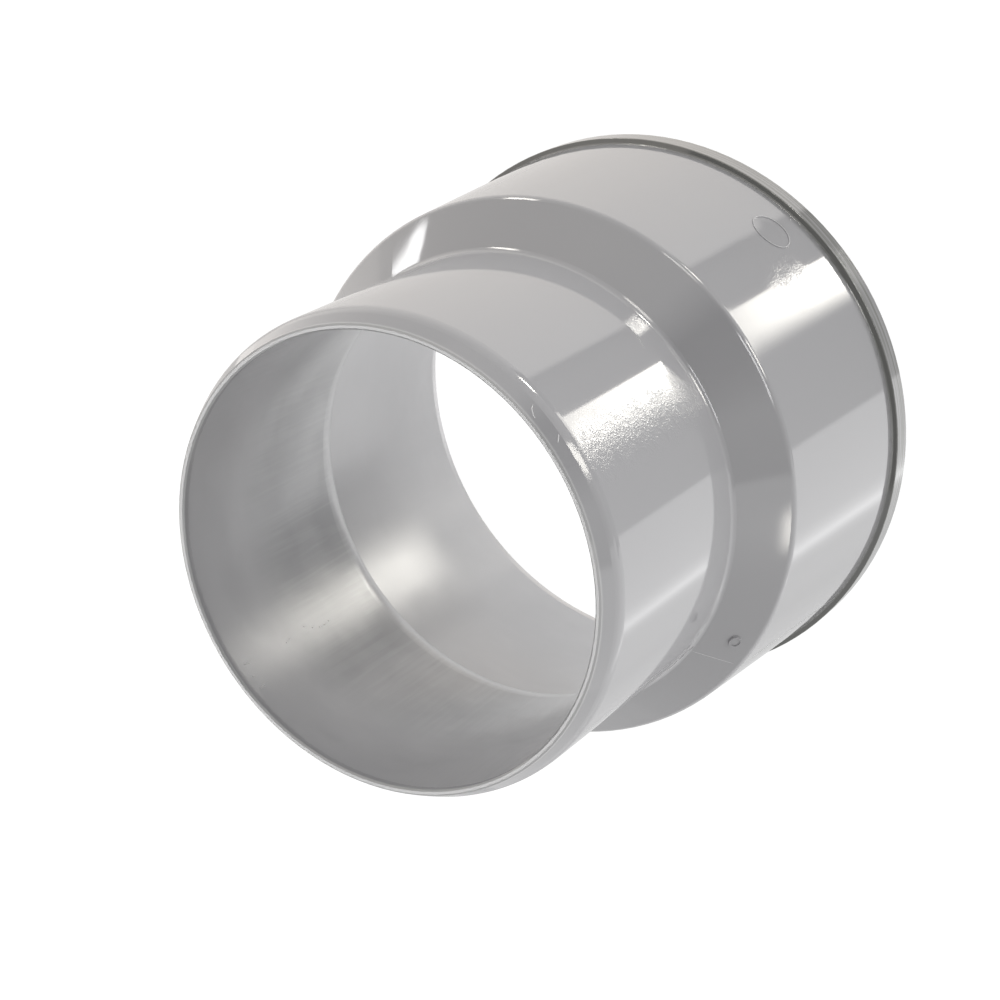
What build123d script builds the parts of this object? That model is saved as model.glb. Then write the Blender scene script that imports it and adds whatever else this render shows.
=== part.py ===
from build123d import *
from math import cos, radians, sin, tan
import os

# Pipe transition adapter, moulded in one piece. It stands on the end face of its flanged cup,
# at height 0, and its axis is Z, with the spigot upward. Lengths are millimetres, angles degrees.

# Spigot: the plain pipe end with a lead-in chamfer at its lip
overall_length = 126.9
spigot_diameter = 110.0
spigot_wall = 3.65
spigot_length = 58.1
lead_in_length = 4.8
lead_in_drop = 2.4
lead_in_round = 7.0
lip_outer_bevel = 0.3
lip_inner_bevel = 0.35

# Shoulder: the cone that steps out from the spigot to the cup, the same thickness all the way
shoulder_angle = 45.0
shoulder_wall = 4.0
shoulder_root_round = 2.5
shoulder_round = 2.4
ridge_round = 11.0
floor_round = 2.5

# Cup: the wide end, with a straight bore and a wall that thickens evenly toward the mouth
cup_bore_diameter = 125.0
cup_wall_at_mouth = 5.15
cup_wall_at_shoulder = 2.95
mouth_lead_in_length = 2.5
mouth_lead_in_depth = 0.5
mouth_bevel = 0.25

# Flange: the rim around the mouth of the cup
flange_width = 1.3
flange_rim_length = 5.7
flange_face_slope = 0.45
flange_root_round = 0.5
flange_rim_round = 0.3
flange_end_bevel = 0.3

# Gate vestige: the sheared stub on the shoulder where the material entered the mould
gate_angle = -155.8
gate_share_of_shoulder = 0.63
gate_diameter = 3.15
gate_height = 0.45
gate_dish_diameter = 2.15
gate_dish_depth = 0.2

# Insert mark: the fine raised ring that a round mould insert left on the cup
mark_angle = -72.9
mark_height_on_cup = 18.6
mark_diameter = 10.5
mark_bead_width = 0.45
mark_bead_height = 0.14

# A feature that stands on a wall is sunk into it by this much, so that the two are one solid.
sink = 0.6

spigot_radius = spigot_diameter / 2
bore_radius = spigot_radius - spigot_wall
lip_radius = spigot_radius - lead_in_drop
lead_in_foot = overall_length - lead_in_length
shoulder_top = overall_length - spigot_length

cup_bore_radius = cup_bore_diameter / 2
cup_outer_mouth_radius = cup_bore_radius + cup_wall_at_mouth
cup_outer_top_radius = cup_bore_radius + cup_wall_at_shoulder
flange_radius = cup_outer_mouth_radius + flange_width
flange_root_height = flange_rim_length + flange_face_slope

slope = radians(shoulder_angle)


def outer_cone_height(radius):
    """Height of the shoulder's outer face at a radius."""
    return shoulder_top - (radius - spigot_radius) / tan(slope)


def inner_cone_height(radius):
    """Height of the shoulder's inner face at a radius, one wall inside the outer face."""
    start_radius = spigot_radius - shoulder_wall * cos(slope)
    start_height = shoulder_top - shoulder_wall * sin(slope)
    return start_height - (radius - start_radius) / tan(slope)


cup_top = outer_cone_height(cup_outer_top_radius)


def cup_outer_radius(height):
    """Radius of the cup's outer face at a height."""
    taper = (cup_outer_mouth_radius - cup_outer_top_radius) / (cup_top - flange_root_height)
    return cup_outer_mouth_radius - taper * (height - flange_root_height)


def corner_at(section, point):
    """The corner of a section that lies nearest to a point."""
    return section.vertices().sort_by_distance(Vector(*point))[0]


def wall_section():
    """Half section of the wall, drawn as (radius, height)."""
    ridge = (bore_radius, inner_cone_height(bore_radius))
    floor = (cup_bore_radius, inner_cone_height(cup_bore_radius))
    mouth_inner = (cup_bore_radius + mouth_lead_in_depth, 0)
    lip_outer = (lip_radius, overall_length)
    lip_inner = (bore_radius, overall_length)
    flange_front = (flange_radius, flange_rim_length)
    flange_back = (flange_radius, 0)
    flange_root = (cup_outer_mouth_radius, flange_root_height)
    cup_shoulder = (cup_outer_top_radius, cup_top)
    shoulder_root = (spigot_radius, shoulder_top)
    lead_in = (spigot_radius, lead_in_foot)

    outline = Polyline(
        mouth_inner,
        flange_back,
        flange_front,
        flange_root,
        cup_shoulder,
        shoulder_root,
        lead_in,
        lip_outer,
        lip_inner,
        ridge,
        floor,
        (cup_bore_radius, mouth_lead_in_length),
        close=True,
    )
    section = make_face(outline)
    rounds = [
        (flange_front, flange_rim_round),
        (flange_root, flange_root_round),
        (cup_shoulder, shoulder_round),
        (shoulder_root, shoulder_root_round),
        (lead_in, lead_in_round),
        (ridge, ridge_round),
        (floor, floor_round),
    ]
    for point, radius in rounds:
        section = fillet(corner_at(section, point), radius)
    bevels = [
        (mouth_inner, mouth_bevel),
        (flange_back, flange_end_bevel),
        (lip_outer, lip_outer_bevel),
        (lip_inner, lip_inner_bevel),
    ]
    for point, size in bevels:
        section = chamfer(corner_at(section, point), size)
    return section


def moulded_wall():
    """The wall turned about the axis: one closed body with both ends open."""
    return revolve(Plane.XZ * wall_section(), axis=Axis.Z, revolution_arc=360)


def gate_vestige():
    """A dished stub on the shoulder, standing square to the cone's face."""
    radius = spigot_radius + gate_share_of_shoulder * (cup_outer_top_radius - spigot_radius)
    outward = Vector(cos(slope), 0, sin(slope))
    foot = Vector(radius, 0, outer_cone_height(radius))
    face = Plane(origin=foot, z_dir=outward)
    stub = extrude(Circle(gate_diameter / 2), amount=gate_height + sink)
    stub = Pos(0, 0, -sink) * stub
    dish = Pos(0, 0, gate_height - gate_dish_depth) * extrude(Circle(gate_dish_diameter / 2), amount=gate_height)
    return Rot(0, 0, gate_angle) * (face * (stub - dish))


def insert_mark():
    """A ring-shaped bead that follows the cup's outer face: a raised skin cut by a round tube."""
    low = mark_height_on_cup - mark_diameter
    high = mark_height_on_cup + mark_diameter
    skin_outline = Polyline(
        (cup_outer_radius(low) - sink, low),
        (cup_outer_radius(low) + mark_bead_height, low),
        (cup_outer_radius(high) + mark_bead_height, high),
        (cup_outer_radius(high) - sink, high),
        close=True,
    )
    skin = revolve(Plane.XZ * make_face(skin_outline), axis=Axis.Z, revolution_arc=360)
    ring = Circle(mark_diameter / 2) - Circle(mark_diameter / 2 - mark_bead_width)
    tube = extrude(ring, amount=flange_radius)
    facing_out = Plane(origin=(0, 0, mark_height_on_cup), z_dir=(1, 0, 0))
    return skin & (Rot(0, 0, mark_angle) * (facing_out * tube))


adapter_body = moulded_wall() + gate_vestige() + insert_mark()

os.makedirs("parts", exist_ok=True)
export_step(adapter_body, "parts/adapter_body.step")
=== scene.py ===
import math

import bpy
import numpy as np
from mathutils import Matrix


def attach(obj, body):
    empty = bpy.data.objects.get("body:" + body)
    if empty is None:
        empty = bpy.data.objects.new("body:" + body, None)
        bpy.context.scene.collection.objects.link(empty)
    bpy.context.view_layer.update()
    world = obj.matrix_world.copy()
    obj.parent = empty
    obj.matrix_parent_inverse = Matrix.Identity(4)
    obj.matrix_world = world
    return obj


# Pipe transition adapter in grey plastic, standing on its flanged end and photographed from above
# on a white sweep. Lengths are metres and angles degrees. Azimuths are turned about the part's axis.

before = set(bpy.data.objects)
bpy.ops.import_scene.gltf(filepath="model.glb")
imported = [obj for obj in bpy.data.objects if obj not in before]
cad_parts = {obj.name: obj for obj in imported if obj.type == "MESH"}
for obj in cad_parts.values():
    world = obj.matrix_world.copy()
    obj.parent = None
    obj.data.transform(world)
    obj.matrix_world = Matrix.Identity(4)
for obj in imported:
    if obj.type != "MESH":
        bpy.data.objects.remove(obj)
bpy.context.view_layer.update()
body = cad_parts["adapter_body"]
scene = bpy.context.scene

MM = 0.001

# Corners of the moulding's outer face, each a radius and a height, and the radii of two rounds there
FLANGE_ROOT = (67.65 * MM, 6.15 * MM)
CUP_CORNER = (65.45 * MM, 58.35 * MM)
SHOULDER_ROOT = (55.0 * MM, 68.8 * MM)
LEAD_IN_CORNER = (55.0 * MM, 122.1 * MM)
LIP_EDGE = (52.75 * MM, 126.6 * MM)
SHOULDER_ROOT_RADIUS = 2.5 * MM
LEAD_IN_RADIUS = 7.0 * MM

SPIGOT_RADIUS = SHOULDER_ROOT[0]
SPIGOT_WALL = 3.65 * MM
BORE_RADIUS = SPIGOT_RADIUS - SPIGOT_WALL

# Middle of the wall, which parts the inner faces from the outer ones
BORE_MID_RADIUS = 51.9 * MM
CUP_MID_RADIUS = 64.0 * MM
SHOULDER_MID_TOP = 69.0 * MM
SHOULDER_MID_FOOT = 56.9 * MM

# The view: the camera looks at a point on the part, and is rolled about its line of sight
CAMERA_TARGET = (-1.18 * MM, 0, 77.0 * MM)
CAMERA_AZIMUTH = -90.0
CAMERA_ELEVATION = 54.557
CAMERA_DISTANCE = 569.59 * MM
CAMERA_ROLL = -121.031
LENS_MM = 90
SENSOR_MM = 36


def direction(azimuth, elevation):
    """The unit vector that points to an azimuth and an elevation."""
    a, e = np.broadcast_arrays(np.radians(azimuth), np.radians(elevation))
    return np.stack([np.cos(e) * np.cos(a), np.cos(e) * np.sin(a), np.sin(e)], axis=-1)


CAMERA_BACK = direction(CAMERA_AZIMUTH, CAMERA_ELEVATION)
CAMERA_PLACE = CAMERA_TARGET + CAMERA_DISTANCE * CAMERA_BACK


# Node helpers

def add_node(tree, kind, settings=None, inputs=None):
    """One node, with its settings and the values of its inputs."""
    node = tree.nodes.new(kind)
    for name, value in (settings or {}).items():
        setattr(node, name, value)
    for name, value in (inputs or {}).items():
        node.inputs[name].default_value = value
    return node


def math_node(tree, operation, *terms):
    """One sum on sockets or numbers; returns its output."""
    node = add_node(tree, "ShaderNodeMath", {"operation": operation})
    for index, term in enumerate(terms):
        if isinstance(term, (int, float)):
            node.inputs[index].default_value = term
        else:
            tree.links.new(term, node.inputs[index])
    return node.outputs[0]


def product(tree, *factors):
    """The product of sockets or numbers; returns its output."""
    result = factors[0]
    for factor in factors[1:]:
        result = math_node(tree, "MULTIPLY", result, factor)
    return result


def ramp_node(tree, value, low, high, at_low=0.0, at_high=1.0, curve="LINEAR"):
    """A ramp of a value from low to high, level beyond them; returns its output."""
    node = add_node(
        tree,
        "ShaderNodeMapRange",
        {"interpolation_type": curve},
        {"From Min": low, "From Max": high, "To Min": at_low, "To Max": at_high},
    )
    tree.links.new(value, node.inputs["Value"])
    return node.outputs["Result"]


def smooth_node(tree, value, low, high, at_low=0.0, at_high=1.0):
    """A ramp that eases in and out; returns its output."""
    return ramp_node(tree, value, low, high, at_low, at_high, "SMOOTHSTEP")


def noise_node(tree, vector, scale, detail=2.0, stretch=(1, 1, 1)):
    """Noise on a vector that is first scaled along its axes; returns its output."""
    mapping = add_node(tree, "ShaderNodeMapping", inputs={"Scale": stretch})
    tree.links.new(vector, mapping.inputs["Vector"])
    noise = add_node(tree, "ShaderNodeTexNoise", inputs={"Scale": scale, "Detail": detail})
    tree.links.new(mapping.outputs["Vector"], noise.inputs["Vector"])
    return noise.outputs["Fac"]


def colour_over(tree, under, over, cover):
    """A fixed colour laid over a colour or a socket as far as it covers it; returns its output."""
    mix = add_node(tree, "ShaderNodeMix", {"data_type": "RGBA"}, {"B": over})
    if isinstance(under, tuple):
        mix.inputs["A"].default_value = under
    else:
        tree.links.new(under, mix.inputs["A"])
    tree.links.new(cover, mix.inputs["Factor"])
    return mix.outputs["Result"]


def new_material(name):
    """An empty node material."""
    material = bpy.data.materials.new(name)
    material.use_nodes = True
    material.node_tree.nodes.clear()
    return material


def show_surface(tree, surface):
    """Leads a shader's output to the material's surface."""
    out = add_node(tree, "ShaderNodeOutputMaterial")
    tree.links.new(surface, out.inputs["Surface"])


def new_group(name, inputs, outputs):
    """A node group with named sockets; returns it with its inner ends."""
    group = bpy.data.node_groups.new(name, "ShaderNodeTree")
    for label, kind, value in inputs:
        socket = group.interface.new_socket(name=label, in_out="INPUT", socket_type=kind)
        if value is not None:
            socket.default_value = value
    for label, kind in outputs:
        group.interface.new_socket(name=label, in_out="OUTPUT", socket_type=kind)
    return group, add_node(group, "NodeGroupInput"), add_node(group, "NodeGroupOutput")


def use_group(tree, group, vector, **values):
    """One use of a group on a vector; returns the node."""
    node = add_node(tree, "ShaderNodeGroup", {"node_tree": group}, values)
    tree.links.new(vector, node.inputs["Vector"])
    return node


def grid_object(name, points, closed=False):
    """A mesh of quads on a grid of points, rows by columns; closed joins the last column to the first."""
    rows, columns = points.shape[:2]
    index = np.arange(rows * columns).reshape(rows, columns)
    if closed:
        index = np.concatenate([index, index[:, :1]], axis=1)
    faces = np.stack([index[:-1, :-1], index[:-1, 1:], index[1:, 1:], index[1:, :-1]], axis=-1)
    mesh = bpy.data.meshes.new(name)
    mesh.from_pydata(points.reshape(-1, 3).tolist(), [], faces.reshape(-1, 4).tolist())
    mesh.update()
    obj = bpy.data.objects.new(name, mesh)
    scene.collection.objects.link(obj)
    return obj


# Lights that are seen in the gloss only: wide bands, and brighter cards in front of them

BAND_REACH = 8.0
BAND_COLUMNS = 180
BAND_ROWS = 13
CARD_REACH = 7.0
CARD_COLUMNS = 41
CARD_ROWS = 25
NEAR_REACH = 0.2
NEAR_POINTS = 25
WARM_AZIMUTH = 10.0
WARMTH = 0.06
WHITE = (1.0, 1.0, 1.0)
CREAM = (1.0, 0.97, 0.9)


def tint(azimuth):
    """The light's colour: a little warm on one side of the part and plain white on the other."""
    lean = max(0.0, math.cos(math.radians(azimuth - WARM_AZIMUTH))) * WARMTH
    return (1 + lean, 1.0, 1 - lean)


def for_reflections_only(obj):
    """The object lights nothing and is seen only in glossy reflections."""
    obj.visible_camera = False
    obj.visible_diffuse = False
    obj.visible_transmission = False
    obj.visible_volume_scatter = False
    obj.visible_shadow = False


def light_band(name, low, high, stops):
    """A ring of soft light about the axis between two elevations: a part of a sphere whose
    radiance runs from stop to stop, each an azimuth and a radiance."""
    azimuth = np.linspace(-180, 180, BAND_COLUMNS, endpoint=False)[None, :]
    elevation = np.linspace(low, high, BAND_ROWS)[:, None]
    band = grid_object(name, direction(azimuth, elevation) * BAND_REACH, closed=True)
    material = new_material(name)
    tree = material.node_tree
    where = add_node(tree, "ShaderNodeTexCoord")
    turn = add_node(tree, "ShaderNodeTexGradient", {"gradient_type": "RADIAL"})
    tree.links.new(where.outputs["Object"], turn.inputs["Vector"])
    ramp = add_node(tree, "ShaderNodeValToRGB")
    peak = max(value for _, value in stops) * (1 + WARMTH)
    elements = ramp.color_ramp.elements
    while len(elements) < len(stops):
        elements.new(0.5)
    for element, (angle, value) in zip(elements, stops):
        element.position = angle / 360 + 0.5
        element.color = [value * part / peak for part in tint(angle)] + [1]
    tree.links.new(turn.outputs["Fac"], ramp.inputs["Fac"])
    glow = add_node(tree, "ShaderNodeEmission", inputs={"Strength": peak})
    tree.links.new(ramp.outputs["Color"], glow.inputs["Color"])
    show_surface(tree, glow.outputs[0])
    band.data.materials.append(material)
    for_reflections_only(band)


def soft_edge(values, low, high, soft_low, soft_high):
    """1 between low and high, easing to 0 at each end over its soft width; a width of 0 is a hard end."""
    weight = np.ones_like(values, dtype=float)
    for distance, width in ((values - low, soft_low), (high - values, soft_high)):
        if width:
            part = np.clip(distance / width, 0, 1)
            weight = weight * part * part * (3 - 2 * part)
    return weight


def glowing_card(name, points, radiance, colour):
    """A card on a grid of points, with a radiance for each point. It adds its light to what lies
    behind it."""
    card = grid_object(name, points)
    attribute = card.data.attributes.new("radiance", "FLOAT", "POINT")
    attribute.data.foreach_set("value", np.ascontiguousarray(radiance.reshape(-1), dtype=np.float32))
    material = new_material(name)
    tree = material.node_tree
    level = add_node(tree, "ShaderNodeAttribute", {"attribute_name": "radiance"})
    glow = add_node(tree, "ShaderNodeEmission", inputs={"Color": (*colour, 1)})
    tree.links.new(level.outputs["Fac"], glow.inputs["Strength"])
    clear = add_node(tree, "ShaderNodeBsdfTransparent")
    both = add_node(tree, "ShaderNodeAddShader")
    tree.links.new(glow.outputs[0], both.inputs[0])
    tree.links.new(clear.outputs[0], both.inputs[1])
    show_surface(tree, both.outputs[0])
    card.data.materials.append(material)
    for_reflections_only(card)


def light_patch(name, azimuths, elevations, radiance, soft, colour=WHITE):
    """A far card: a patch of a sphere. The radiance is given at the low and at the high elevation;
    the four soft widths are at the low and high azimuth, then at the low and high elevation."""
    azimuth = np.linspace(*azimuths, CARD_COLUMNS)[None, :]
    elevation = np.linspace(*elevations, CARD_ROWS)[:, None]
    share = (elevation - elevations[0]) / (elevations[1] - elevations[0])
    level = radiance[0] + (radiance[1] - radiance[0]) * share
    weight = soft_edge(azimuth, *azimuths, *soft[:2]) * soft_edge(elevation, *elevations, *soft[2:])
    glowing_card(name, direction(azimuth, elevation) * CARD_REACH, level * weight, colour)


def mirrored_from_shoulder(radius, azimuth):
    """The point that the camera sees mirrored in the shoulder, at a radius and an azimuth on it: the
    line of sight to that point, turned back by the cone's outward direction, and NEAR_REACH long."""
    rise = (CUP_CORNER[1] - SHOULDER_ROOT[1]) / (CUP_CORNER[0] - SHOULDER_ROOT[0])
    outward = direction(azimuth, 0)
    point = outward * radius + [0, 0, SHOULDER_ROOT[1] + rise * (radius - SHOULDER_ROOT[0])]
    normal = outward * -rise + [0, 0, 1]
    normal /= np.linalg.norm(normal)
    sight = point - CAMERA_PLACE
    sight /= np.linalg.norm(sight)
    return point + NEAR_REACH * (sight - 2 * sight.dot(normal) * normal)


def near_card(name, places, radiance, soft, colour=WHITE):
    """A card close to the part, seen mirrored in the shoulder between four places on it, each a
    radius and an azimuth, given row by row. The four soft widths are shares of the card: at the first
    and the last column, then at the first and the last row."""
    across = np.linspace(0, 1, NEAR_POINTS)[None, :]
    down = np.linspace(0, 1, NEAR_POINTS)[:, None]
    first, second, third, fourth = (mirrored_from_shoulder(*place) for place in places)
    near_edge = first + (second - first) * across[..., None]
    far_edge = third + (fourth - third) * across[..., None]
    points = near_edge + (far_edge - near_edge) * down[..., None]
    weight = soft_edge(across, 0, 1, *soft[:2]) * soft_edge(down, 0, 1, *soft[2:])
    glowing_card(name, points, radiance * weight, colour)


# Seen in the upright walls, which reflect downward past the floor
light_band(
    "lower_band",
    -84,
    -36,
    [
        (-180, 2.9),
        (-176, 2.2),
        (-171, 1.85),
        (-150, 1.95),
        (-136.5, 2.0),
        (-135.0, 0.85),
        (-100, 0.75),
        (-60, 0.65),
        (-51.5, 0.5),
        (-50, 1.7),
        (-30, 1.6),
        (0, 1.38),
        (30, 1.08),
        (60, 0.88),
        (100, 0.75),
        (120, 0.78),
        (150, 1.0),
        (163, 1.25),
        (172, 1.4),
        (176, 1.7),
        (180, 2.9),
    ],
)
# Seen in the shoulder's root and the lead-in
light_band(
    "middle_band",
    -36,
    -8,
    [
        (-180, 2.3),
        (-128, 2.3),
        (-126.5, 1.2),
        (-60, 1.6),
        (-48, 1.8),
        (0, 1.6),
        (40, 2.0),
        (70, 1.6),
        (120, 1.0),
        (180, 2.0),
    ],
)
# Seen in the shoulder and the flange
light_band(
    "upper_band",
    -8,
    60,
    [
        (-180, 1.5),
        (-168, 1.7),
        (-150, 2.45),
        (-134.5, 2.4),
        (-132.5, 1.15),
        (-111, 1.35),
        (-103, 0.8),
        (-94, 0.35),
        (-77, 0.1),
        (-69, 1.1),
        (-61, 1.9),
        (-30, 2.05),
        (0, 1.85),
        (22, 1.75),
        (60, 1.5),
        (110, 1.1),
        (160, 1.35),
        (180, 1.5),
    ],
)

# The two cards of the key light, seen in the upright walls
light_patch(
    "key_card",
    azimuths=(-98, -74.5),
    elevations=(-62.5, -55.5),
    radiance=(27, 4.5),
    soft=(13, 0.8, 0, 0),
    colour=CREAM,
)
light_patch(
    "key_top_card",
    azimuths=(-99, -73),
    elevations=(-55.5, -40),
    radiance=(7.5, 4.5),
    soft=(9, 1.2, 0, 3),
    colour=CREAM,
)
# Cards for the glints on the rounds and edges
light_patch(
    "root_card",
    azimuths=(-112, -84),
    elevations=(8, 25),
    radiance=(8, 8),
    soft=(6, 3, 3, 2),
)
light_patch(
    "window_card",
    azimuths=(-66, -50),
    elevations=(-1, 13),
    radiance=(8, 8),
    soft=(3, 3, 2, 4),
    colour=CREAM,
)
light_patch(
    "blob_card",
    azimuths=(-65.5, -55.5),
    elevations=(-35, -27),
    radiance=(34, 34),
    soft=(3, 3, 2, 2),
    colour=CREAM,
)
light_patch(
    "lead_in_card",
    azimuths=(-103, -87),
    elevations=(-29, -8),
    radiance=(13, 13),
    soft=(5, 3, 4, 3),
    colour=CREAM,
)
light_patch(
    "top_card",
    azimuths=(-10, 3),
    elevations=(-10, 7),
    radiance=(15, 15),
    soft=(4, 4, 4, 4),
    colour=CREAM,
)
light_patch(
    "lip_card",
    azimuths=(55, 125),
    elevations=(45, 63),
    radiance=(6, 6),
    soft=(10, 10, 2, 2),
)
# Cards for the two bright patches on the shoulder
near_card(
    "side_card",
    [(55.2 * MM, 2.8), (55.0 * MM, -8.9), (65.1 * MM, -9.2), (64.5 * MM, -10.7)],
    radiance=11,
    soft=(0.45, 0.08, 0.0, 0.35),
)
near_card(
    "corner_card",
    [(67.3 * MM, -120.5), (67.3 * MM, -134.0), (62.3 * MM, -122.5), (62.3 * MM, -135.5)],
    radiance=11,
    soft=(0.4, 0.4, 0.3, 0.5),
    colour=CREAM,
)


# The mouth, the world and the floor

MOUTH_RING_RADII = (42.0 * MM, 62.0 * MM)
MOUTH_RING_COLUMNS = 72
MOUTH_RING_ROWS = 5
MOUTH_RING_STRENGTH = 1.2

WORLD_STRENGTH = 0.42

FLOOR_HALF_WIDTH = 3.0
FLOOR_NEAR = 0.1
FLOOR_FAR = 0.5
FLOOR_STRENGTH_NEAR = 1.02
FLOOR_STRENGTH_FAR = 1.45
MOUTH_FLOOR_RADIUS = 62.0 * MM
MOUTH_FLOOR_GLOW = 0.1


def mouth_card():
    """A ring of light on the floor just within the mouth, seen only in the gloss of the bores."""
    azimuth = np.linspace(-180, 180, MOUTH_RING_COLUMNS, endpoint=False)[None, :]
    radius = np.linspace(*MOUTH_RING_RADII, MOUTH_RING_ROWS)[:, None]
    points = direction(azimuth, np.zeros_like(radius)) * radius[..., None]
    ring = grid_object("mouth_card", points, closed=True)
    material = new_material("mouth_card")
    tree = material.node_tree
    glow = add_node(
        tree, "ShaderNodeEmission", inputs={"Color": (*WHITE, 1), "Strength": MOUTH_RING_STRENGTH}
    )
    show_surface(tree, glow.outputs[0])
    ring.data.materials.append(material)
    for_reflections_only(ring)


def studio_world():
    """Even soft white light from everywhere."""
    world = bpy.data.worlds.new("studio")
    world.use_nodes = True
    background = world.node_tree.nodes["Background"]
    background.inputs["Color"].default_value = (*WHITE, 1)
    background.inputs["Strength"].default_value = WORLD_STRENGTH
    return world


def white_floor():
    """A flat white sweep that glows, more so away from the part and within its mouth, so that it
    is white and has no shadow in the picture."""
    half = FLOOR_HALF_WIDTH
    corners = np.array([[[-half, -half, 0], [half, -half, 0]], [[-half, half, 0], [half, half, 0]]])
    floor = grid_object("floor", corners)
    material = new_material("floor")
    tree = material.node_tree
    where = add_node(tree, "ShaderNodeTexCoord")
    distance = add_node(tree, "ShaderNodeVectorMath", {"operation": "LENGTH"})
    tree.links.new(where.outputs["Object"], distance.inputs[0])
    reach = distance.outputs["Value"]
    open_floor = ramp_node(tree, reach, FLOOR_NEAR, FLOOR_FAR, FLOOR_STRENGTH_NEAR, FLOOR_STRENGTH_FAR)
    within = math_node(tree, "LESS_THAN", reach, MOUTH_FLOOR_RADIUS)
    strength = math_node(tree, "MULTIPLY_ADD", within, MOUTH_FLOOR_GLOW, open_floor)
    glow = add_node(tree, "ShaderNodeEmission", inputs={"Color": (*WHITE, 1)})
    tree.links.new(strength, glow.inputs["Strength"])
    show_surface(tree, glow.outputs[0])
    floor.data.materials.append(material)
    floor.visible_glossy = False
    floor.visible_shadow = False


mouth_card()
scene.world = studio_world()
white_floor()


# The plastic: its colours, its gloss, and where each look begins and is complete

BASE_GREY = (0.448, 0.444, 0.455, 1)
# Painted shade: the darker grey of the bores stands in for the shade deep inside them
BORE_PAINTED_SHADE = (0.29, 0.29, 0.3, 1)
# Painted shade: the flange's narrow face beside the cup wall is darkened
FLANGE_PAINTED_SHADE = (0.2, 0.2, 0.19, 1)
# A darker grey for fine lines round the flange's rim
RIM_DARK_LINES = (0.2, 0.2, 0.185, 1)
# Painted highlight: the lip's end face is paled
LIP_PAINTED_HIGHLIGHT = (0.75, 0.75, 0.74, 1)
# Pale grey of scratched, whitened plastic, also a painted highlight on the ring mark's crest and the flash
# ticks
SCUFFED_AND_GLINT = (0.8, 0.8, 0.8, 1)

PLASTIC_IOR = 1.5
COAT_IOR = 1.65
COAT_ROUGHNESS = 0.27
COAT_INSIDE = 0.85
SCUFFED_ROUGHNESS = 0.35

ROUGHNESS_OUTSIDE = 0.06
ROUGHNESS_INSIDE = 0.26
ROUGHNESS_OF_STREAKS = 0.06
ROUGHNESS_OF_RUB = 0.03

GRAIN_OUTSIDE = 0.002
GRAIN_INSIDE = 0.05
GRAIN_OF_RUB = 0.5
WAVE_INSIDE = 1.5
BUMP_DISTANCE = 0.12 * MM

# Each pattern's scale, its stretch along the axis, and the span of its noise that shows
CLOUD_SCALE = 70.0
CLOUD_SPAN = (0.3, 0.7)
MOTTLE_SCALE = 600.0
MOTTLE_SPAN = (0.35, 0.65)
MOTTLE_LEVELS = (0.45, 1.0)
GRAIN_SCALE = 2900.0
FINE_STREAK_SCALE = 900.0
FINE_STREAK_STRETCH = (1, 1, 0.05)
BROAD_STREAK_SCALE = 220.0
BROAD_STREAK_STRETCH = (1, 1, 0.08)
STREAK_SPAN = (0.18, 0.34)
RIM_LINE_SCALE = 40.0
RIM_LINE_STRETCH = (1, 1, 40)
RIM_LINE_SPAN = (0.35, 0.65)
RIM_LINE_LEVELS = (0.35, 0.9)
RUB_SPAN = (0.45, 1.0)

# How much the bore's painted shade takes from the lip, the cup, the clouds and the streaks
LIP_SHADE_LEVELS = (0.85, -0.15)
CUP_SHADE_LEVELS = (0.1, 1.0)
SHADE_EVERYWHERE = 0.85
SHADE_OF_CLOUDS = 0.5
SHADE_OF_STREAKS = -0.3
LIP_HIGHLIGHT_SHARE = 0.6

RIM_HEIGHTS = (124.6 * MM, 126.3 * MM)
LIP_END_HEIGHTS = (126.1 * MM, 126.6 * MM)
LIP_SHADE_HEIGHTS = (88 * MM, 114 * MM)
CUP_SHADE_HEIGHTS = (58 * MM, 72 * MM)
FLANGE_FACE_RADII = (67.5 * MM, 67.75 * MM)
FLANGE_FACE_HEIGHTS = (5.45 * MM, 5.6 * MM)
FLANGE_RIM_RADII = (68.5 * MM, 68.7 * MM)


def on_wall(radius, azimuth, height):
    """The point at a radius, an azimuth and a height."""
    return (*(direction(azimuth, 0)[:2] * radius).tolist(), height)


# Rubbed patches: the place of each, how far it reaches and how strong it is
SPIGOT_RUB_HEIGHTS = (76, 86, 96, 106, 116)
RUBBED_PATCHES = [
    (on_wall(SPIGOT_RADIUS, -93.5, height * MM), 9.5 * MM, 1.0) for height in SPIGOT_RUB_HEIGHTS
]
RUBBED_PATCHES.append((on_wall(66.6 * MM, -80.8, 27.0 * MM), 12.5 * MM, 0.55))


def wall_side_group():
    """Tells the inner faces from the outer ones, and gives the distance from the axis and the height."""
    group, start, end = new_group(
        "wall_side",
        [("Vector", "NodeSocketVector", None)],
        [("Inside", "NodeSocketFloat"), ("Radius", "NodeSocketFloat"), ("Height", "NodeSocketFloat")],
    )
    split = add_node(group, "ShaderNodeSeparateXYZ")
    group.links.new(start.outputs["Vector"], split.inputs[0])
    x, y, z = split.outputs
    radius = math_node(group, "SQRT", math_node(group, "ADD", product(group, x, x), product(group, y, y)))
    middle = ramp_node(group, z, SHOULDER_MID_FOOT, SHOULDER_MID_TOP, CUP_MID_RADIUS, BORE_MID_RADIUS)
    group.links.new(math_node(group, "LESS_THAN", radius, middle), end.inputs["Inside"])
    group.links.new(radius, end.inputs["Radius"])
    group.links.new(z, end.inputs["Height"])
    return group


def cloud_group():
    """Soft cloudy patches, from 0 to 1."""
    group, start, end = new_group(
        "cloudy_patches",
        [("Vector", "NodeSocketVector", None), ("Size", "NodeSocketFloat", 60.0)],
        [("Cover", "NodeSocketFloat")],
    )
    noise = add_node(group, "ShaderNodeTexNoise", inputs={"Detail": 2.0, "Roughness": 0.4})
    group.links.new(start.outputs["Vector"], noise.inputs["Vector"])
    group.links.new(start.outputs["Size"], noise.inputs["Scale"])
    group.links.new(smooth_node(group, noise.outputs["Fac"], *CLOUD_SPAN), end.inputs["Cover"])
    return group


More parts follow.
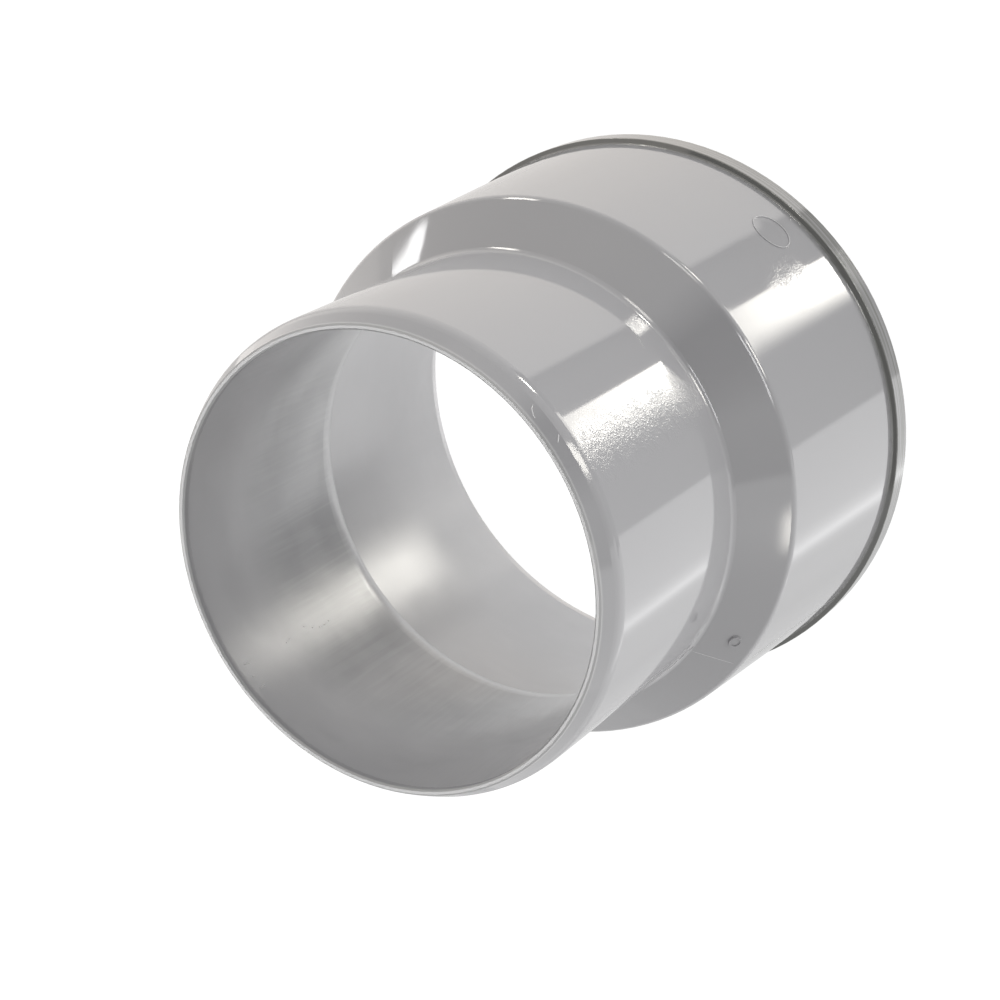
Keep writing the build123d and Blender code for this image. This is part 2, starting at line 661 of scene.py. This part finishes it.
def streak_group():
    """Fine drag streaks along the axis, left by the core as it was pulled out, from 0 to 1."""
    group, start, end = new_group(
        "drag_streaks", [("Vector", "NodeSocketVector", None)], [("Cover", "NodeSocketFloat")]
    )
    fine = noise_node(group, start.outputs["Vector"], FINE_STREAK_SCALE, 3.0, FINE_STREAK_STRETCH)
    broad = noise_node(group, start.outputs["Vector"], BROAD_STREAK_SCALE, 2.0, BROAD_STREAK_STRETCH)
    group.links.new(smooth_node(group, product(group, fine, broad), *STREAK_SPAN), end.inputs["Cover"])
    return group


def grain_group():
    """The fine grain of the moulded face, as a height."""
    group, start, end = new_group(
        "moulded_grain",
        [("Vector", "NodeSocketVector", None), ("Strength", "NodeSocketFloat", 1.0)],
        [("Height", "NodeSocketFloat")],
    )
    noise = noise_node(group, start.outputs["Vector"], GRAIN_SCALE, 1.0)
    group.links.new(product(group, noise, start.outputs["Strength"]), end.inputs["Height"])
    return group


def rubbed_group():
    """A rubbed patch: 1 at a centre, easing to 0 at a distance from it."""
    group, start, end = new_group(
        "rubbed_patch",
        [
            ("Vector", "NodeSocketVector", None),
            ("Centre", "NodeSocketVector", None),
            ("Reach", "NodeSocketFloat", 0.02),
        ],
        [("Cover", "NodeSocketFloat")],
    )
    gap = add_node(group, "ShaderNodeVectorMath", {"operation": "DISTANCE"})
    group.links.new(start.outputs["Vector"], gap.inputs[0])
    group.links.new(start.outputs["Centre"], gap.inputs[1])
    share = math_node(group, "DIVIDE", gap.outputs["Value"], start.outputs["Reach"])
    group.links.new(smooth_node(group, share, *RUB_SPAN, 1.0, 0.0), end.inputs["Cover"])
    return group


def rub_cover(tree, where, outside):
    """How rubbed a spot is: the strongest of the patches there, mottled, on the outside only."""
    rubbed = rubbed_group()
    worn = None
    for centre, reach, weight in RUBBED_PATCHES:
        patch = use_group(tree, rubbed, where, Centre=centre, Reach=reach).outputs["Cover"]
        patch = product(tree, patch, weight)
        worn = patch if worn is None else math_node(tree, "MAXIMUM", worn, patch)
    mottle = smooth_node(tree, noise_node(tree, where, MOTTLE_SCALE), *MOTTLE_SPAN, *MOTTLE_LEVELS)
    return product(tree, worn, mottle, outside)


def plastic_roughness(tree, inside, streaks, rub):
    """The gloss outside, and what the rubbed patches, the bores and the streaks in them take from it."""
    satin = math_node(tree, "MULTIPLY_ADD", streaks, ROUGHNESS_OF_STREAKS, ROUGHNESS_INSIDE)
    rough = math_node(tree, "ADD", product(tree, inside, satin), ROUGHNESS_OUTSIDE)
    return math_node(tree, "MULTIPLY_ADD", rub, ROUGHNESS_OF_RUB, rough)


def plastic_bump(tree, where, inside, clouds, rub):
    """Grain, faint on the glossy faces and stronger where rubbed and inside, where the wall also waves."""
    strength = math_node(tree, "MULTIPLY_ADD", inside, GRAIN_INSIDE, GRAIN_OUTSIDE)
    strength = math_node(tree, "MULTIPLY_ADD", rub, GRAIN_OF_RUB, strength)
    grain = use_group(tree, grain_group(), where)
    tree.links.new(strength, grain.inputs["Strength"])
    wave = product(tree, inside, clouds, WAVE_INSIDE)
    height = math_node(tree, "ADD", grain.outputs["Height"], wave)
    bump = add_node(tree, "ShaderNodeBump", inputs={"Distance": BUMP_DISTANCE, "Strength": 1.0})
    tree.links.new(height, bump.inputs["Height"])
    return bump.outputs["Normal"]


def bore_shade(tree, height, inside, clouds, streaks):
    """Painted shade: how much darker the bore is, most between the cup and the lip, cloudy, and less in
    the streaks.
    """
    below_lip = smooth_node(tree, height, *LIP_SHADE_HEIGHTS, *LIP_SHADE_LEVELS)
    above_cup = smooth_node(tree, height, *CUP_SHADE_HEIGHTS, *CUP_SHADE_LEVELS)
    cloudy = math_node(tree, "MULTIPLY_ADD", clouds, SHADE_OF_CLOUDS, SHADE_EVERYWHERE)
    dragged = math_node(tree, "MULTIPLY_ADD", streaks, SHADE_OF_STREAKS, cloudy)
    return product(tree, inside, below_lip, above_cup, dragged)


def rim_lines(tree, where, radius):
    """Fine darker lines round the flange's rim, which is darkened all round beneath them."""
    lines = noise_node(tree, where, RIM_LINE_SCALE, stretch=RIM_LINE_STRETCH)
    cover = smooth_node(tree, lines, *RIM_LINE_SPAN, *RIM_LINE_LEVELS)
    return product(tree, smooth_node(tree, radius, *FLANGE_RIM_RADII), cover)


def plastic():
    """Grey plastic: glossy outside with rubbed patches, satin and cloudy in the bores, with painted shade
    and a painted highlight.
    """
    material = new_material("grey_plastic_with_painted_light")
    tree = material.node_tree
    where = add_node(tree, "ShaderNodeTexCoord").outputs["Object"]
    side = use_group(tree, wall_side_group(), where)
    radius = side.outputs["Radius"]
    height = side.outputs["Height"]
    inside = product(tree, side.outputs["Inside"], smooth_node(tree, height, *RIM_HEIGHTS, 1.0, 0.0))
    outside = math_node(tree, "SUBTRACT", 1.0, inside)
    clouds = use_group(tree, cloud_group(), where, Size=CLOUD_SCALE).outputs["Cover"]
    streaks = use_group(tree, streak_group(), where).outputs["Cover"]
    rub = rub_cover(tree, where, outside)

    # Painted shade darkens the bores and the flange's narrow face, the rim has darker lines, and a painted
    # highlight pales the lip's end.
    colour = colour_over(tree, BASE_GREY, BORE_PAINTED_SHADE, bore_shade(tree, height, inside, clouds, streaks))
    # Painted shade on the flange's narrow face beside the cup wall
    painted_face_shade = product(
        tree,
        smooth_node(tree, radius, *FLANGE_FACE_RADII),
        smooth_node(tree, height, *FLANGE_FACE_HEIGHTS),
    )
    colour = colour_over(tree, colour, FLANGE_PAINTED_SHADE, painted_face_shade)
    colour = colour_over(tree, colour, RIM_DARK_LINES, rim_lines(tree, where, radius))
    # Painted highlight on the lip's end face
    painted_lip_highlight = smooth_node(tree, height, *LIP_END_HEIGHTS, 0.0, LIP_HIGHLIGHT_SHARE)
    colour = colour_over(tree, colour, LIP_PAINTED_HIGHLIGHT, painted_lip_highlight)

    shader = add_node(
        tree,
        "ShaderNodeBsdfPrincipled",
        inputs={"IOR": PLASTIC_IOR, "Coat IOR": COAT_IOR, "Coat Roughness": COAT_ROUGHNESS},
    )
    tree.links.new(colour, shader.inputs["Base Color"])
    tree.links.new(plastic_roughness(tree, inside, streaks, rub), shader.inputs["Roughness"])
    tree.links.new(product(tree, inside, COAT_INSIDE), shader.inputs["Coat Weight"])
    tree.links.new(plastic_bump(tree, where, inside, clouds, rub), shader.inputs["Normal"])
    show_surface(tree, shader.outputs[0])
    return material


def scuffed_and_glint_plastic():
    """The same plastic where it is scratched and whitened; its pale grey also serves as a painted
    highlight on the ring mark's crest and the flash ticks.
    """
    material = new_material("scuffed_and_glint_plastic")
    tree = material.node_tree
    shader = add_node(
        tree,
        "ShaderNodeBsdfPrincipled",
        inputs={"Base Color": SCUFFED_AND_GLINT, "Roughness": SCUFFED_ROUGHNESS, "IOR": PLASTIC_IOR},
    )
    show_surface(tree, shader.outputs[0])
    return material


body.data.materials.clear()
body.data.materials.append(plastic())
scuffed_and_glint = scuffed_and_glint_plastic()


# Fine marks: ribs that follow the wall

RIB_SIDES = 8
RIB_STEPS = 24


def rounded(before, corner, after, radius):
    """Start, middle and end of the round at a corner of an outline. It leaves both sides at the radius
    times the tangent of half the turn, and its middle is on the line that halves the corner."""
    back = np.subtract(before, corner) / math.dist(before, corner)
    ahead = np.subtract(after, corner) / math.dist(after, corner)
    half_turn = (math.pi - math.acos(back.dot(ahead))) / 2
    reach = radius * math.tan(half_turn)
    inward = (back + ahead) / np.linalg.norm(back + ahead)
    middle = corner + inward * radius * (1 / math.cos(half_turn) - 1)
    return corner + back * reach, middle, corner + ahead * reach


ROOT_ROUND = rounded(CUP_CORNER, SHOULDER_ROOT, LEAD_IN_CORNER, SHOULDER_ROOT_RADIUS)
LEAD_IN_ROUND = rounded(SHOULDER_ROOT, LEAD_IN_CORNER, LIP_EDGE, LEAD_IN_RADIUS)
OUTER_FACE = np.array([FLANGE_ROOT, CUP_CORNER, *ROOT_ROUND, *LEAD_IN_ROUND, LIP_EDGE])


def outer_radius(height):
    """Radius of the outer face at a height."""
    return np.interp(height, OUTER_FACE[:, 1], OUTER_FACE[:, 0])


def outer_lean(height):
    """How fast the outer radius grows with height."""
    step = 0.05 * MM
    return (outer_radius(height + step) - outer_radius(height - step)) / (2 * step)


def rib_points(azimuths, heights, half_width, rise, inner=False, lift=0.0, steps=RIB_STEPS):
    """A rib along a path on the wall. The path runs evenly through the given azimuths and heights.
    Its section is an ellipse, half sunk, that narrows to nothing at both ends as a circle does.
    The lift raises the whole rib off the wall."""
    share = np.linspace(0, 1, steps)
    knots = np.linspace(0, 1, len(azimuths))
    azimuth = np.radians(np.interp(share, knots, azimuths))
    height = np.interp(share, knots, heights)
    radius = np.full_like(height, BORE_RADIUS) if inner else outer_radius(height) + lift
    centre = np.stack([radius * np.cos(azimuth), radius * np.sin(azimuth), height], axis=-1)
    along = np.gradient(centre, axis=0)
    along /= np.linalg.norm(along, axis=1, keepdims=True)
    around = np.stack([-np.sin(azimuth), np.cos(azimuth), np.zeros_like(azimuth)], axis=-1)
    lean = np.zeros_like(height) if inner else outer_lean(height)
    uphill = np.stack([lean * np.cos(azimuth), lean * np.sin(azimuth), np.ones_like(lean)], axis=-1)
    normal = np.cross(around, uphill)
    normal /= np.linalg.norm(normal, axis=1, keepdims=True)
    if inner:
        normal = -normal
    side = np.cross(along, normal)
    size = np.sqrt(np.clip(1 - (2 * share - 1) ** 2, 0, 1))[:, None, None]
    turn = np.linspace(0, 2 * math.pi, RIB_SIDES, endpoint=False)[None, :, None]
    offset = side[:, None] * np.cos(turn) * half_width + normal[:, None] * np.sin(turn) * rise
    return centre[:, None] + offset * size


def rib_faces(rings, start):
    """Faces of one rib: quads from ring to ring, then a fan of triangles from the point at each end.
    The two end points come after the rings."""
    ring = np.arange(RIB_SIDES)
    after = (ring + 1) % RIB_SIDES
    low = start + np.arange(rings - 1)[:, None] * RIB_SIDES
    high = low + RIB_SIDES
    quads = np.stack([low + ring, high + ring, high + after, low + after], axis=-1).reshape(-1, 4)
    last = start + (rings - 1) * RIB_SIDES
    first_end = np.full(RIB_SIDES, start + rings * RIB_SIDES)
    first_fan = np.stack([first_end, start + ring, start + after], axis=-1)
    last_fan = np.stack([first_end + 1, last + after, last + ring], axis=-1)
    return quads.tolist() + first_fan.tolist() + last_fan.tolist()


def rib_piece(name, ribs):
    """One piece of the pale scuffed plastic, which is partly a painted highlight, made of several ribs,
    each a closed tube whose ends are points.
    """
    vertices = []
    faces = []
    for points in ribs:
        rings = points[1:-1]
        faces += rib_faces(len(rings), len(vertices))
        vertices += rings.reshape(-1, 3).tolist()
        vertices += [points[0, 0].tolist(), points[-1, 0].tolist()]
    mesh = bpy.data.meshes.new(name)
    mesh.from_pydata(vertices, [], faces)
    mesh.update()
    mesh.shade_smooth()
    mesh.materials.append(scuffed_and_glint)
    piece = bpy.data.objects.new(name, mesh)
    scene.collection.objects.link(piece)
    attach(piece, "root")


PARTING_AZIMUTH = -161.6
RING_AZIMUTH = -72.9
RING_HEIGHT = 18.6 * MM
RING_CREST_RADIUS = 5.03 * MM
RING_CREST_LIFT = 0.13 * MM
RING_START = 0.6
RING_POINTS = 73
SPECK_RADIUS = 0.16 * MM
# An azimuth and a height in millimetres for each speck
SPECK_PLACES = [
    (94.4, 106.7),
    (94.0, 105.2),
    (93.2, 98.5),
    (94.6, 96.2),
    (95.5, 93.9),
    (95.6, 92.1),
    (95.3, 90.1),
]


def parting_lines():
    """The mould's parting line: on the shoulder, on the cup and on the spigot, on both sides."""
    corner_height = CUP_CORNER[1]
    on_shoulder = (ROOT_ROUND[0][1], corner_height + 1.2 * MM)
    on_cup = (7.0 * MM, corner_height - 1.2 * MM)
    on_spigot = (ROOT_ROUND[2][1], 119 * MM)
    stretches = [
        (on_shoulder, 0.06 * MM, 0.04 * MM),
        (on_cup, 0.06 * MM, 0.03 * MM),
        (on_spigot, 0.05 * MM, 0.015 * MM),
    ]
    ribs = [
        rib_points([azimuth, azimuth], heights, half_width, rise)
        for azimuth in (PARTING_AZIMUTH, PARTING_AZIMUTH + 180)
        for heights, half_width, rise in stretches
    ]
    rib_piece("parting_lines", ribs)


def flash_marks():
    """Ticks of flash on the lead-in and along the shoulder's root beside the parting line; their pale
    grey is a painted highlight. Each row holds the azimuths, then the heights, the half width and the
    rise in millimetres."""
    ticks = [
        ([-77.3, -77.9, -79.4, -80.1], [124.2, 125.0, 125.7, 125.7], 0.13, 0.1),
        ([-85.7, -87.2], [123.8, 125.0], 0.12, 0.1),
        ([-160.2, -162.5, -165.0], [68.4, 68.9, 69.1], 0.09, 0.09),
        ([-165.6, -168.8], [69.4, 69.6], 0.09, 0.09),
    ]
    ribs = [
        rib_points(azimuths, np.array(heights) * MM, half_width * MM, rise * MM)
        for azimuths, heights, half_width, rise in ticks
    ]
    rib_piece("flash_marks", ribs)


def ring_edge():
    """The pale crest of the ring mark on the cup, a painted highlight for the glint on its edge: a circle
    laid on the wall.
    """
    turn = np.linspace(RING_START, RING_START + 2 * math.pi, RING_POINTS)
    heights = RING_HEIGHT + RING_CREST_RADIUS * np.sin(turn)
    azimuths = RING_AZIMUTH + np.degrees(RING_CREST_RADIUS * np.cos(turn) / outer_radius(RING_HEIGHT))
    half_width = 0.055 * MM
    rise = 0.05 * MM
    rib = rib_points(azimuths, heights, half_width, rise, lift=RING_CREST_LIFT, steps=RING_POINTS)
    rib_piece("ring_edge", [rib])


def scratches():
    """Hairline scratches with raised, whitened edges: on the spigot outside and near the lip inside.
    Each row holds the azimuths, the heights and the size in millimetres, and whether it is inside."""
    hairlines = [
        ([-73.6, -78.6], [76.4, 77.7], 0.05, False),
        ([93.6, 93.9], [122.9, 120.7], 0.12, True),
        ([100.7, 100.6], [123.6, 121.1], 0.12, True),
        ([97.2, 97.5], [123.0, 122.2], 0.12, True),
    ]
    ribs = [
        rib_points(azimuths, np.array(heights) * MM, size * MM, size * MM, inner)
        for azimuths, heights, size, inner in hairlines
    ]
    rib_piece("scratches", ribs)


def bore_specks():
    """A row of tiny raised specks in the bore."""
    size = SPECK_RADIUS
    ribs = []
    for azimuth, height in SPECK_PLACES:
        ends = [height * MM - size, height * MM + size]
        ribs.append(rib_points([azimuth, azimuth], ends, size, size, inner=True))
    rib_piece("bore_specks", ribs)


parting_lines()
flash_marks()
ring_edge()
scratches()
bore_specks()


def photo_camera():
    """The camera at the photograph's angle. Its level right and up directions are turned by the roll
    about the line of sight."""
    data = bpy.data.cameras.new("camera")
    data.lens = LENS_MM
    data.sensor_width = SENSOR_MM
    data.clip_start = 10 * MM
    viewer = bpy.data.objects.new("camera", data)
    scene.collection.objects.link(viewer)
    level_right = direction(CAMERA_AZIMUTH + 90, 0)
    level_up = np.cross(CAMERA_BACK, level_right)
    roll = math.radians(CAMERA_ROLL)
    right = level_right * math.cos(roll) + level_up * math.sin(roll)
    up = level_up * math.cos(roll) - level_right * math.sin(roll)
    rows = np.stack([right, up, CAMERA_BACK, CAMERA_PLACE], axis=-1)
    viewer.matrix_world = Matrix([*rows.tolist(), (0, 0, 0, 1)])
    return viewer


camera = photo_camera()
scene.camera = camera
scene.view_settings.view_transform = "Standard"
